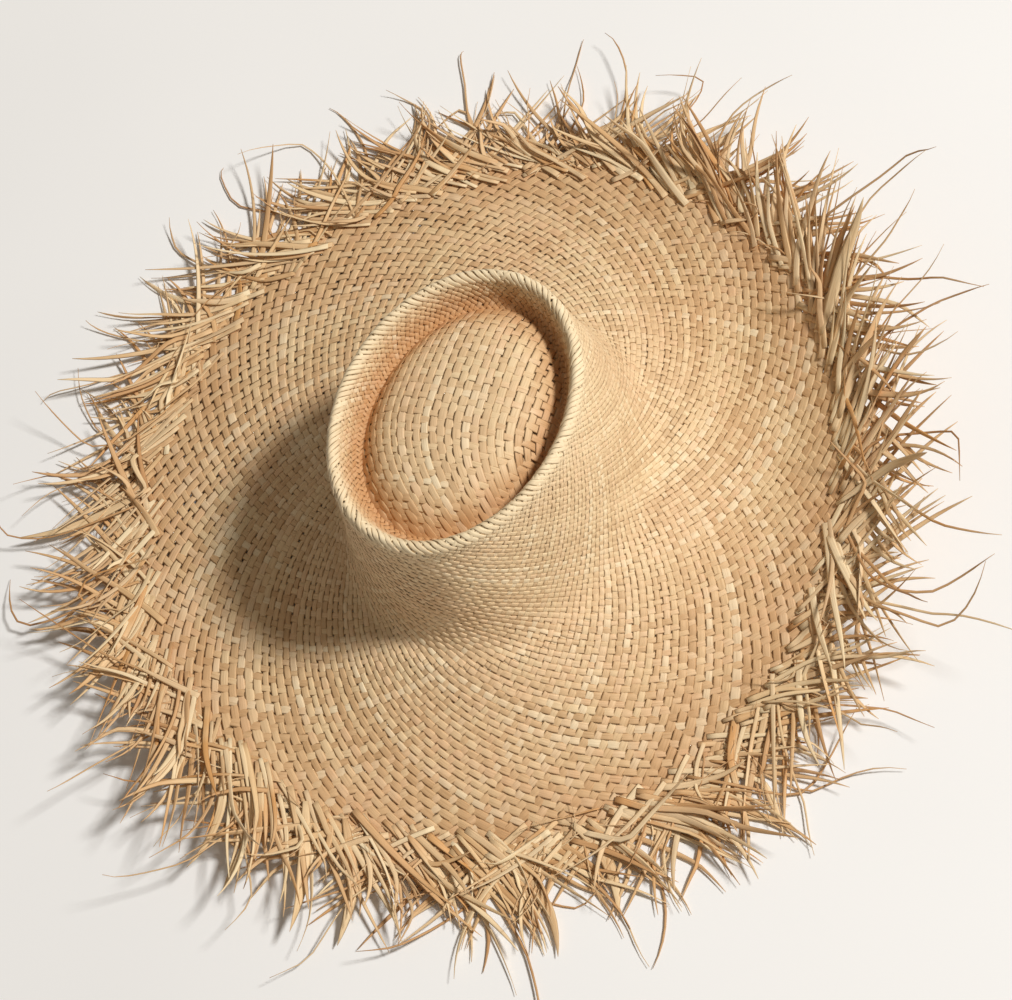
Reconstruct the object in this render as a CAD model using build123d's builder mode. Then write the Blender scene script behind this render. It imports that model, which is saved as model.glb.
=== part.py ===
"""Wide-brim raffia sombrero with a sunken crown tip and a frayed fringe.

Millimetres. +Z is up and +Y is the front of the hat, the long way of the head oval.
The origin is on the ground below the middle of the hat, which stands on the two
low arcs of its wavy brim.

The woven body is made in four zones: crown_tip, crown_rim, crown_wall and brim.
Strands that leave the weave at the brim's edge are grouped in fringe tufts, and a
ribbon sweatband, its thread and its bow tab are sewn inside the head opening.
"""

from build123d import *

import os
from math import atan2, cos, hypot, pi, radians, sin
from random import Random

# --- crown: every level is an oval whose half-axes are the shoulder's plus an offset ---
SHOULDER_HALF_X = 71.0  # outside of the crown just under the folded rim
SHOULDER_HALF_Y = 89.0
SHOULDER_Z = 131.0
CREST_Z = 140.0  # top of the folded rim
WEAVE_THICKNESS = 2.2  # two crossing layers of raffia strand
ZONE_GAP = 0.1  # between two zones of the weave

# --- sunken tip ---
GROOVE_OFFSET = -17.0  # groove between rim and dome, measured from the shoulder oval
GROOVE_Z = 119.5
DOME_Z = 138.0

# --- brim: oval at its root, nearly round at its edge ---
ROOT_OFFSET = 30.0
ROOT_Z = 38.8
EDGE_RADIUS = 220.0
EDGE_SHIFT = 17.0  # the brim is this much wider on its left side
EDGE_SHIFT_AZIMUTH = radians(168)
BRIM_EASE = 0.4  # how much the brim's fall eases towards its edge
WAVE_CURVE = 1.8  # how late along the brim the waves set in
BIG_WAVE_HEIGHT = 46.0  # raised right front side
BIG_WAVE_AZIMUTH = radians(40)
BIG_WAVE_HALF_WIDTH = radians(80)
SMALL_WAVE_HEIGHT = 18.0  # raised left rear side
SMALL_WAVE_AZIMUTH = radians(236)
SMALL_WAVE_HALF_WIDTH = radians(60)

# --- fringe ---
TUFT_COUNT = 24
STRANDS_PER_TUFT = 5  # in each of the two crossing layers
STRAND_ANGLE = radians(48)  # between a strand and the brim's radius
STRAND_ROOT_WIDTH = 4.2
STRAND_TIP_WIDTH = 0.8
STRAND_THICKNESS = 0.6
STRAND_STEPS = 4  # straight stretches along each strand
STRAND_LENGTHS = (34.0, 130.0, 58.0)  # shortest, longest, commonest
LAYER_GAP = 1.5  # between the middles of the upper and lower layer
EDGE_CLEARANCE = 0.15
FRINGE_SLOPE_KEPT = 0.45  # part of the edge's slope that the strands carry on
FRINGE_REACH = 300.0  # no strand ends further out than this

# --- sweatband ---
BAND_LOW_Z = 48.0
BAND_HIGH_Z = 76.0
BAND_THICKNESS = 1.0
BAND_CLEARANCE = 0.5
STITCH_COUNT = 72
STITCH_LENGTH = 4.2
STITCH_DIAMETER = 0.7
STITCH_Z = 51.0
TAB_WIDTH = 13.0
TAB_HEIGHT = 24.0
TAB_THICKNESS = 0.8

SECTORS = 4
SECTIONS_PER_SECTOR = 7


def oval_radius(offset, azimuth):
    """Distance from the axis to the oval that lies `offset` outside the shoulder."""
    half_x = SHOULDER_HALF_X + offset
    half_y = SHOULDER_HALF_Y + offset
    return half_x * half_y / hypot(half_y * cos(azimuth), half_x * sin(azimuth))


def meridian_plane(azimuth):
    """Upright plane through the axis: its x runs outward and its y runs up."""
    outward = (cos(azimuth), sin(azimuth), 0)
    return Plane(origin=(0, 0, 0), x_dir=outward, z_dir=(sin(azimuth), -cos(azimuth), 0))


def wave(azimuth, middle, half_width, height):
    """A smooth swell of the brim's edge, zero outside its half width."""
    away = abs((azimuth - middle + pi) % (2 * pi) - pi) / half_width
    return height * cos(away * pi / 2) ** 2 if away < 1 else 0.0


def edge_height(azimuth):
    """Height of the brim's underside at its edge; zero where it rests on the ground."""
    big = wave(azimuth, BIG_WAVE_AZIMUTH, BIG_WAVE_HALF_WIDTH, BIG_WAVE_HEIGHT)
    small = wave(azimuth, SMALL_WAVE_AZIMUTH, SMALL_WAVE_HALF_WIDTH, SMALL_WAVE_HEIGHT)
    return big + small


def edge_radius(azimuth):
    return EDGE_RADIUS + EDGE_SHIFT * cos(azimuth - EDGE_SHIFT_AZIMUTH)


def brim_point(share, azimuth):
    """Radius and height of the brim's upper face, `share` of the way out to its edge."""
    root = oval_radius(ROOT_OFFSET + ZONE_GAP, azimuth)
    radius = root + (edge_radius(azimuth) - root) * share
    fall = (ROOT_Z - WEAVE_THICKNESS) * ((1 + BRIM_EASE) * share - BRIM_EASE * share**2)
    return radius, ROOT_Z - fall + edge_height(azimuth) * share**WAVE_CURVE


def fringe_height(radius, azimuth):
    """Height of the middle of the weave, carried on outward beyond the brim's edge."""
    reach = edge_radius(azimuth) - oval_radius(ROOT_OFFSET, azimuth)
    fall = (ROOT_Z - WEAVE_THICKNESS) * (1 - BRIM_EASE)
    slope = (edge_height(azimuth) * WAVE_CURVE - fall) / reach
    middle = edge_height(azimuth) + WEAVE_THICKNESS / 2
    carried = middle + slope * FRINGE_SLOPE_KEPT * (radius - edge_radius(azimuth))
    return max(carried, STRAND_THICKNESS)


def offset_inward(profile, distance):
    """The profile's points moved to the right of its direction of travel."""
    moved = []
    for index, (x, z) in enumerate(profile):
        before = profile[max(index - 1, 0)]
        after = profile[min(index + 1, len(profile) - 1)]
        run = after[0] - before[0]
        rise = after[1] - before[1]
        length = hypot(run, rise)
        moved.append((x + rise / length * distance, z - run / length * distance))
    return moved


def sector_azimuths():
    """The azimuths of each sector's sections; neighbouring sectors share one."""
    span = 2 * pi / SECTORS
    steps = SECTIONS_PER_SECTOR - 1
    return [
        [span * (sector + step / steps) for step in range(SECTIONS_PER_SECTOR)]
        for sector in range(SECTORS)
    ]


def meridian_face(section_at, azimuth):
    """The face between a section's upper and lower line, on its meridian plane."""
    upper, lower = section_at(azimuth)
    with BuildSketch(meridian_plane(azimuth)) as section:
        with BuildLine():
            Spline(*upper)
            Line(upper[-1], lower[-1])
            Spline(*reversed(lower))
            Line(lower[0], upper[0])
        make_face()
    return section.sketch


def oval_section(outside, inside, azimuth):
    """Turn (offset, z) points into (radius, z) points on one meridian."""
    upper = [(oval_radius(offset, azimuth), z) for offset, z in outside]
    lower = [(oval_radius(offset, azimuth), z) for offset, z in inside]
    return upper, lower


# Outer face of the crown wall, from the rim's shoulder down the flare to the brim's root.
wall_outside = [
    (0, SHOULDER_Z - ZONE_GAP),
    (2.2, 115),
    (5.0, 98),
    (8.2, 80),
    (11.4, 64),
    (14.6, 53.5),
    (18.2, 46),
    (22.8, 41.2),
    (ROOT_OFFSET, ROOT_Z),
]
wall_inside = offset_inward(wall_outside, WEAVE_THICKNESS)
wall_inside[0] = (-WEAVE_THICKNESS, SHOULDER_Z - ZONE_GAP)
wall_inside[-1] = (ROOT_OFFSET, ROOT_Z - WEAVE_THICKNESS)

# Folded rim, from the bottom of the groove up the inner lip, over the crest, to the shoulder.
rim_outside = [
    (GROOVE_OFFSET, GROOVE_Z),
    (-14.2, GROOVE_Z + 1.7),
    (-11.8, GROOVE_Z + 7.0),
    (-9.8, CREST_Z - 7.0),
    (-8.0, CREST_Z - 2.4),
    (-4.4, CREST_Z),
    (-1.0, CREST_Z - 3.0),
    (0, SHOULDER_Z),
]
rim_inside = [
    (GROOVE_OFFSET, GROOVE_Z - WEAVE_THICKNESS),
    (-12.9, GROOVE_Z + 0.1),
    (-9.8, GROOVE_Z + 6.2),
    (-7.7, CREST_Z - 7.3),
    (-6.3, CREST_Z - 3.8),
    (-4.5, CREST_Z - WEAVE_THICKNESS),
    (-3.0, CREST_Z - 3.8),
    (-WEAVE_THICKNESS, SHOULDER_Z),
]


def crown_wall_section(azimuth):
    return oval_section(wall_outside, wall_inside, azimuth)


def crown_rim_section(azimuth):
    return oval_section(rim_outside, rim_inside, azimuth)


def brim_section(azimuth):
    shares = [0, 0.2, 0.4, 0.6, 0.8, 1]
    upper = [brim_point(share, azimuth) for share in shares]
    lower = [(radius, z - WEAVE_THICKNESS) for radius, z in upper]
    return upper, lower


def finish(builder, name):
    """Name a finished node and write its STEP file."""
    builder.part.label = name
    export_step(builder.part, f"parts/{name}.step")


os.makedirs("parts", exist_ok=True)

# --- crown tip: a soft dome, drawn round and then narrowed to the head's oval ---
groove_half_x = SHOULDER_HALF_X + GROOVE_OFFSET - ZONE_GAP
groove_half_y = SHOULDER_HALF_Y + GROOVE_OFFSET - ZONE_GAP
dome_rise = DOME_Z - GROOVE_Z
dome_shares = [(0, 1), (0.3, 0.975), (0.55, 0.87), (0.76, 0.65), (0.9, 0.33), (1, 0)]
dome_top = [(share * groove_half_y, GROOVE_Z + rise * dome_rise) for share, rise in dome_shares]
dome_bottom = [(x, z - WEAVE_THICKNESS) for x, z in dome_top]
with BuildPart() as crown_tip:
    with BuildSketch(Plane.XZ):
        with BuildLine():
            Spline(*dome_top, tangents=[(1, 0), (1, -0.2)])
            Line(dome_top[-1], dome_bottom[-1])
            Spline(*reversed(dome_bottom), tangents=[(-1, 0.2), (-1, 0)])
            Line(dome_bottom[0], dome_top[0])
        make_face()
    revolve(axis=Axis.Z)
    scale(by=(groove_half_x / groove_half_y, 1, 1))
finish(crown_tip, "crown_tip")

# --- crown rim: the folded ring that stands up around the tip ---
with BuildPart() as crown_rim:
    for azimuths in sector_azimuths():
        loft([meridian_face(crown_rim_section, azimuth) for azimuth in azimuths])
finish(crown_rim, "crown_rim")

# --- crown wall: tapered oval side that flares out into the brim ---
with BuildPart() as crown_wall:
    for azimuths in sector_azimuths():
        loft([meridian_face(crown_wall_section, azimuth) for azimuth in azimuths])
finish(crown_wall, "crown_wall")

# --- brim: wavy sheet of the weave ---
with BuildPart() as brim:
    for azimuths in sector_azimuths():
        loft([meridian_face(brim_section, azimuth) for azimuth in azimuths])
finish(brim, "brim")

# --- fringe: strands that run on past the brim's edge in two crossing layers ---
def fringe_point(place, lift):
    """The point above a place on the ground that lies on the carried-on weave."""
    height = fringe_height(hypot(place.X, place.Y), atan2(place.Y, place.X))
    return Vector(place.X, place.Y, height + lift)


def fringe_section(place, ahead, across, width, lift):
    """A strand's section: `ahead` and `across` are level, and it tilts with the weave."""
    tilted_ahead = fringe_point(place + ahead, lift) - fringe_point(place - ahead, lift)
    tilted_across = fringe_point(place + across, lift) - fringe_point(place - across, lift)
    plane = Plane(origin=fringe_point(place, lift), x_dir=tilted_across, z_dir=tilted_ahead)
    with BuildSketch(plane) as section:
        Rectangle(width, STRAND_THICKNESS)
    return section.sketch


def fringe_strand(azimuth, side, length):
    """Sections of one tapered strip; side is +1 or -1 for the two ways strands lean."""
    outward = Vector(cos(azimuth), sin(azimuth), 0)
    tangent = Vector(-sin(azimuth), cos(azimuth), 0)
    heading = outward * cos(STRAND_ANGLE) + tangent * (side * sin(STRAND_ANGLE))
    across = Vector(0, 0, 1).cross(heading)
    start = outward * (edge_radius(azimuth) + EDGE_CLEARANCE)
    lift = LAYER_GAP if side > 0 else 0
    root_width = STRAND_ROOT_WIDTH / cos(STRAND_ANGLE)
    sections = [fringe_section(start, outward, tangent, root_width, lift)]
    for step in range(1, STRAND_STEPS + 1):
        share = step / STRAND_STEPS
        width = STRAND_ROOT_WIDTH + (STRAND_TIP_WIDTH - STRAND_ROOT_WIDTH) * share
        place = start + heading * (length * share)
        sections.append(fringe_section(place, heading, across, width, lift))
    return sections


def longest_strand(azimuth):
    """Length at which a strand's tip comes to the end of the fringe's reach."""
    forward = edge_radius(azimuth) * cos(STRAND_ANGLE)
    sideways = edge_radius(azimuth) * sin(STRAND_ANGLE)
    return (FRINGE_REACH**2 - sideways**2) ** 0.5 - forward


chance = Random(836)
tuft_span = 2 * pi / TUFT_COUNT
for tuft in range(TUFT_COUNT):
    with BuildPart() as fringe_tuft:
        for strand in range(STRANDS_PER_TUFT):
            for side in (1, -1):
                azimuth = tuft_span * (tuft + (strand + 0.5) / STRANDS_PER_TUFT)
                length = min(chance.triangular(*STRAND_LENGTHS), longest_strand(azimuth))
                loft(fringe_strand(azimuth, side, length), ruled=True)
    finish(fringe_tuft, f"fringe_tuft_{tuft + 1:02d}")


# --- sweatband: a ribbon around the inside of the head opening ---
def wall_inside_offset(z):
    """Offset of the crown wall's inner face at a height, between its points."""
    for (upper_offset, upper_z), (lower_offset, lower_z) in zip(wall_inside, wall_inside[1:]):
        if lower_z <= z <= upper_z:
            share = (upper_z - z) / (upper_z - lower_z)
            return upper_offset + (lower_offset - upper_offset) * share
    raise ValueError("height is outside the crown wall")


def oval_band(low_z, high_z, outside_gap, thickness):
    """Outer and inner ovals of a ribbon that follows the inside of the crown wall."""
    ovals = []
    for inward in (outside_gap, outside_gap + thickness):
        for z in (low_z, (low_z + high_z) / 2, high_z):
            offset = wall_inside_offset(z) - inward
            with BuildSketch(Plane.XY.offset(z)) as oval:
                Ellipse(SHOULDER_HALF_X + offset, SHOULDER_HALF_Y + offset)
            ovals.append(oval.sketch)
    return ovals[:3], ovals[3:]


with BuildPart() as sweatband:
    band_outside, band_inside = oval_band(BAND_LOW_Z, BAND_HIGH_Z, BAND_CLEARANCE, BAND_THICKNESS)
    loft(band_outside)
    loft(band_inside, mode=Mode.SUBTRACT)
finish(sweatband, "sweatband")

# --- stitching: a running stitch of thread on the sweatband's lower edge ---
stitch_inset = BAND_CLEARANCE + BAND_THICKNESS + STITCH_DIAMETER / 2 + 0.1
with BuildPart() as sweatband_stitching:
    for index in range(STITCH_COUNT):
        azimuth = 2 * pi * (index + 0.5) / STITCH_COUNT
        offset = wall_inside_offset(STITCH_Z) - stitch_inset
        half_x = SHOULDER_HALF_X + offset
        half_y = SHOULDER_HALF_Y + offset
        along = Vector(-half_x * sin(azimuth), half_y * cos(azimuth), 0).normalized()
        middle = Vector(half_x * cos(azimuth), half_y * sin(azimuth), STITCH_Z)
        with BuildSketch(Plane(origin=middle - along * (STITCH_LENGTH / 2), z_dir=along)):
            Circle(STITCH_DIAMETER / 2)
        extrude(amount=STITCH_LENGTH)
finish(sweatband_stitching, "sweatband_stitching")

# --- bow tab: a flat ribbon loop over the sweatband's joint at the back ---
tab_z = (BAND_LOW_Z + BAND_HIGH_Z) / 2
tab_inset = BAND_CLEARANCE + BAND_THICKNESS + 0.2
with BuildPart() as sweatband_bow_tab:
    for z in (tab_z - TAB_HEIGHT / 2, tab_z + TAB_HEIGHT / 2):
        back = -(SHOULDER_HALF_Y + wall_inside_offset(z) - tab_inset)
        with BuildSketch(Plane.XY.offset(z)):
            with Locations((0, back + TAB_THICKNESS / 2 + 0.3)):
                Rectangle(TAB_WIDTH, TAB_THICKNESS)
    loft()
finish(sweatband_bow_tab, "sweatband_bow_tab")
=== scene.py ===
"""Raffia sombrero: woven strands, frayed fringe and sewn sweatband around the CAD frame.

The hat's body is made the way it is woven. Two crossing families of strands spiral
from the groove around the sunken tip, over the folded rim, down the crown wall and out
across the brim, and run on past its edge as the fringe. A square grid of strands covers
the domed tip. Everything is in metres, in the frame's own place.
"""

import math

import bpy
import numpy as np
from mathutils import Matrix, Vector


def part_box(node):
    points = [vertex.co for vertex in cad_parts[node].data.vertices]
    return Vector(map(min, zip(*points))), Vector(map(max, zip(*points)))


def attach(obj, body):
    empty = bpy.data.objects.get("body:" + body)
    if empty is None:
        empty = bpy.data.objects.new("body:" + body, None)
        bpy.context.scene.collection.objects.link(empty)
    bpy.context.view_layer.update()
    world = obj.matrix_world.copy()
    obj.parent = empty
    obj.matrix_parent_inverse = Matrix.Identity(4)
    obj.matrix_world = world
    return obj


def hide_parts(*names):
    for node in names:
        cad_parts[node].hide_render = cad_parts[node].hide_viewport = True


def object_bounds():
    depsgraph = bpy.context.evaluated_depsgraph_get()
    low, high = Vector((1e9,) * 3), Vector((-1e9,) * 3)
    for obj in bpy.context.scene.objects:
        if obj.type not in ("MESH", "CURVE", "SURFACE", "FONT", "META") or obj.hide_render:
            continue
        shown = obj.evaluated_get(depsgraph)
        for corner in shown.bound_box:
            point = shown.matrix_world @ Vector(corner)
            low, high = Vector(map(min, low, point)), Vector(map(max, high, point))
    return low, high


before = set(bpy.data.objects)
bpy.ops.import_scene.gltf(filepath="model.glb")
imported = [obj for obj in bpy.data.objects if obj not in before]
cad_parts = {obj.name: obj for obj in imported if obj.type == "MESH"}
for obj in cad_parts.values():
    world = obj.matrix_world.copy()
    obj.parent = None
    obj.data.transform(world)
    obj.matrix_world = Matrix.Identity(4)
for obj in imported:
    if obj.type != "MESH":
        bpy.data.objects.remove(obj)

MM = 0.001
CAD_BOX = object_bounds()
chance = np.random.default_rng(7)

# --- sizes read from the frame ---
rim_low, rim_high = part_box("crown_rim")
wall_low, wall_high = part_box("crown_wall")
tip_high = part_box("crown_tip")[1]
brim_low, brim_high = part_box("brim")
band_low, band_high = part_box("sweatband")

WEAVE = 2.2 * MM  # thickness of the CAD shells
EXTRA_REACH = 24 * MM  # how far the longest fibres pass the CAD's fringe
SHOULDER_X = rim_high[0]
SHOULDER_Y = rim_high[1]
CREST_Z = rim_high[2]
GROOVE_Z = rim_low[2] + WEAVE
DOME_X = tip_high[0]
DOME_Y = tip_high[1]
DOME_Z = tip_high[2]
ROOT_OFFSET = wall_high[0] - SHOULDER_X
ROOT_Z = wall_low[2] + WEAVE
EDGE_RADIUS = (brim_high[0] - brim_low[0]) / 2
EDGE_SHIFT = math.hypot(brim_high[0] + brim_low[0], brim_high[1] + brim_low[1]) / 2
EDGE_SHIFT_AZIMUTH = math.atan2(brim_high[1] + brim_low[1], brim_high[0] + brim_low[0])
FRINGE_REACH = (CAD_BOX[1][0] - CAD_BOX[0][0]) / 2 + EXTRA_REACH

# --- shape of the brim, as in the CAD ---
BRIM_EASE = 0.4  # how much steeper the brim falls near the crown than at its edge
WAVE_CURVE = 1.8  # how late toward the edge a wave rises
WAVES = (  # middle azimuth, half width, height
    (math.radians(40), math.radians(80), 46 * MM),
    (math.radians(236), math.radians(60), 18 * MM),
)
FRINGE_SLOPE_KEPT = 0.45  # share of the brim's slope that the fringe carries on

# --- the weave ---
STRANDS = 120  # in each family
STEPS_PER_CROSSING = 4
CREST_DROP = 9 * MM  # from the crest down to where the rim ends and the wall starts
STRAND_THICKNESS = 0.72 * MM
UNDULATION = 0.29 * MM
COVER = 1.01  # strand width as a share of the spacing
UPPER_LIFT = 0.11 * MM  # how far the higher family stands above the middle
WANDER = 0.14  # sideways drift of a strand, as a share of the spacing
ROUGHNESS = 0.07 * MM  # slow rise and fall of a strand
CREST_ROPE = 5 * MM  # how far from the crest one family lies over the other
CREST_LIFT = 0.2 * MM
CREST_ROUGHNESS = 0.3 * MM


# ---------------------------------------------------------------- the hat's surface

SAMPLES_PER_POINT = 40  # fine points between two given ones, before they are spaced evenly


def smooth_line(points, count):
    """A natural cubic through the points, as `count` evenly spaced points."""
    points = np.array(points, float)
    knots = np.concatenate([[0], np.cumsum(np.linalg.norm(np.diff(points, axis=0), axis=1))])
    gaps = np.diff(knots)
    size = len(points)
    system = np.eye(size)
    rates = np.zeros_like(points)
    for i in range(1, size - 1):
        system[i, i - 1 : i + 2] = gaps[i - 1], 2 * (gaps[i - 1] + gaps[i]), gaps[i]
        change = (points[i + 1] - points[i]) / gaps[i] - (points[i] - points[i - 1]) / gaps[i - 1]
        rates[i] = 6 * change
    bend = np.linalg.solve(system, rates)
    at = np.linspace(0, knots[-1], SAMPLES_PER_POINT * size)
    i = np.clip(np.searchsorted(knots, at) - 1, 0, size - 2)
    left, right, gap = (at - knots[i])[:, None], (knots[i + 1] - at)[:, None], gaps[i][:, None]
    line = (bend[i] * right**3 + bend[i + 1] * left**3) / (6 * gap)
    line += (points[i] / gap - bend[i] * gap / 6) * right
    line += (points[i + 1] / gap - bend[i + 1] * gap / 6) * left
    along = np.concatenate([[0], np.cumsum(np.linalg.norm(np.diff(line, axis=0), axis=1))])
    even = np.linspace(0, along[-1], count)
    return np.stack([np.interp(even, along, column) for column in line.T], axis=1), along[-1]


# Middle of the weave from the groove over the crest and down to the brim's root:
# (outward from the shoulder's oval, height).
CROWN_POINTS = (
    (-17.5 * MM, GROOVE_Z - 1.6 * MM),
    (-13.6 * MM, GROOVE_Z + 0.8 * MM),
    (-10.8 * MM, GROOVE_Z + 6.6 * MM),
    (-8.7 * MM, CREST_Z - 7.1 * MM),
    (-7.2 * MM, CREST_Z - 3.1 * MM),
    (-4.5 * MM, CREST_Z - 1.1 * MM),
    (-2.0 * MM, CREST_Z - 3.4 * MM),
    (-1.1 * MM, CREST_Z - 9.0 * MM),
    (1.1 * MM, CREST_Z - 25 * MM),
    (3.9 * MM, CREST_Z - 42 * MM),
    (7.1 * MM, CREST_Z - 60.2 * MM),
    (10.3 * MM, CREST_Z - 76.4 * MM),
    (13.6 * MM, CREST_Z - 87.2 * MM),
    (17.4 * MM, CREST_Z - 94.9 * MM),
    (22.2 * MM, CREST_Z - 99.9 * MM),
    (ROOT_OFFSET, ROOT_Z - WEAVE / 2),
)
CROWN_LINE, CROWN_LENGTH = smooth_line(CROWN_POINTS, 600)
CROWN_STATIONS = np.linspace(0, CROWN_LENGTH, len(CROWN_LINE))
BRIM_LENGTH = EDGE_RADIUS - (SHOULDER_X + SHOULDER_Y) / 2 - ROOT_OFFSET
EDGE = CROWN_LENGTH + BRIM_LENGTH  # station of the brim's edge along a meridian
CREST_STATION = CROWN_STATIONS[np.argmax(CROWN_LINE[:, 1])]
past_crest = CROWN_STATIONS > CREST_STATION
below_shoulder = CROWN_LINE[:, 1] < CREST_Z - CREST_DROP
SHOULDER_STATION = CROWN_STATIONS[np.argmax(past_crest & below_shoulder)]


def oval_radius(offset, azimuth):
    """Radius of the crown's oval, grown outward by an offset."""
    half_x = SHOULDER_X + offset
    half_y = SHOULDER_Y + offset
    return half_x * half_y / np.hypot(half_y * np.cos(azimuth), half_x * np.sin(azimuth))


def edge_radius(azimuth):
    """Radius of the brim's edge, which reaches further on one side."""
    return EDGE_RADIUS + EDGE_SHIFT * np.cos(azimuth - EDGE_SHIFT_AZIMUTH)


def edge_height(azimuth):
    """Height of the brim's underside at its edge."""
    height = np.zeros_like(azimuth)
    for middle, half_width, rise in WAVES:
        away = np.abs((azimuth - middle + np.pi) % (2 * np.pi) - np.pi) / half_width
        height += np.where(away < 1, rise * np.cos(np.minimum(away, 1) * np.pi / 2) ** 2, 0)
    return height


LOWEST_MIDDLE = 1.0 * MM  # of the weave, above the floor


def surface(station, azimuth):
    """Points in the middle of the weave; stations past the edge carry the brim on."""
    offset = np.interp(station, CROWN_STATIONS, CROWN_LINE[:, 0])
    crown_z = np.interp(station, CROWN_STATIONS, CROWN_LINE[:, 1])
    root = oval_radius(ROOT_OFFSET, azimuth)
    share = np.maximum(station - CROWN_LENGTH, 0) / BRIM_LENGTH
    inner = np.minimum(share, 1)
    edge = edge_height(azimuth)
    drop = ROOT_Z - WEAVE
    brim_z = ROOT_Z - WEAVE / 2 - drop * ((1 + BRIM_EASE) * inner - BRIM_EASE * inner**2)
    brim_z = brim_z + edge * inner**WAVE_CURVE
    slope = (edge * WAVE_CURVE - drop * (1 - BRIM_EASE)) * FRINGE_SLOPE_KEPT
    brim_z = np.maximum(brim_z + slope * np.maximum(share - 1, 0), LOWEST_MIDDLE)
    brim_radius = root + (edge_radius(azimuth) - root) * share
    on_crown = station <= CROWN_LENGTH
    radius = np.where(on_crown, oval_radius(offset, azimuth), brim_radius)
    height = np.where(on_crown, crown_z, brim_z)
    return np.stack([radius * np.cos(azimuth), radius * np.sin(azimuth), height], axis=-1)


def unit(vectors):
    return vectors / np.maximum(np.linalg.norm(vectors, axis=-1, keepdims=True), 1e-12)


NORMAL_STEP = 0.4 * MM
NORMAL_TURN = 0.003  # radians


def surface_normal(station, azimuth):
    """Outward direction of the weave, from points just around."""
    down = surface(station + NORMAL_STEP, azimuth) - surface(station - NORMAL_STEP, azimuth)
    around = surface(station, azimuth + NORMAL_TURN) - surface(station, azimuth - NORMAL_TURN)
    return unit(np.cross(down, around))


# ---------------------------------------------------------------- strands as meshes

# A strand's section, across and up: two flanks and a flat top above a shallow keel.
SECTION = np.array([(-0.5, 0.0), (-0.27, 0.44), (0.27, 0.44), (0.5, 0.0), (0.0, -0.5)])
# The layout for baking: a row for each strip, shared between the sides of its section.
PACKED = np.array([0.04, 0.2, 0.52, 0.68, 0.82, 0.96])
PACKED_START, PACKED_END = 0.002, 0.998
CAP_CORNERS = 8  # corners of the two faces that close an end


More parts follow.
